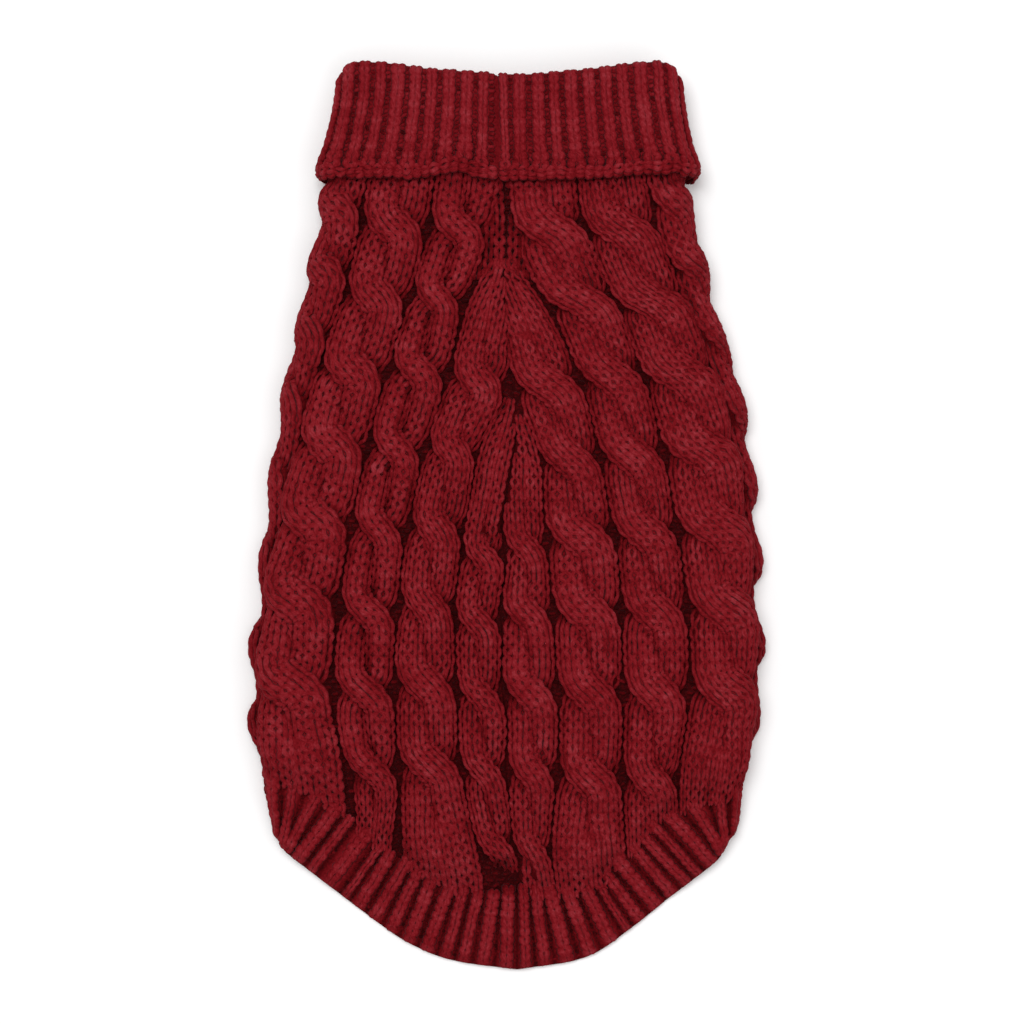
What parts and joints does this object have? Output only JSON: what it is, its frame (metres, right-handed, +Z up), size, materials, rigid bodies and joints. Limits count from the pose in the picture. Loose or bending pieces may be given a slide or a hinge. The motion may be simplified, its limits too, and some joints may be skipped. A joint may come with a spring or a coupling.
{
  "type": "dog sweater",
  "caption": "Cable-knit dog sweater with a turned-down turtleneck, ribbed leg openings and a long rounded ribbed hem, lying flat on its belly; keeps a small dog warm.",
  "frame": {"origin": "bottom centre of the sweater's bounding box, on the surface it lies on", "axes": "+Y from the tail hem towards the collar, +X towards the right of the upper (back) layer as seen from above with the collar up, +Z up from the surface through the layers"},
  "size_m": [0.1754, 0.3178, 0.0207],
  "materials": {
    "knit": "chunky cable-knit acrylic yarn, matte with a soft sheen",
    "rib": "ribbed knit of the same yarn, matte with a soft sheen"
  },
  "bodies": {
    "root": {"back_left": "knit", "back_right": "knit", "belly": "rib", "leg_band_left": "rib", "leg_band_right": "rib", "collar": "rib", "hem": "rib"}
  },
  "joints": []
}
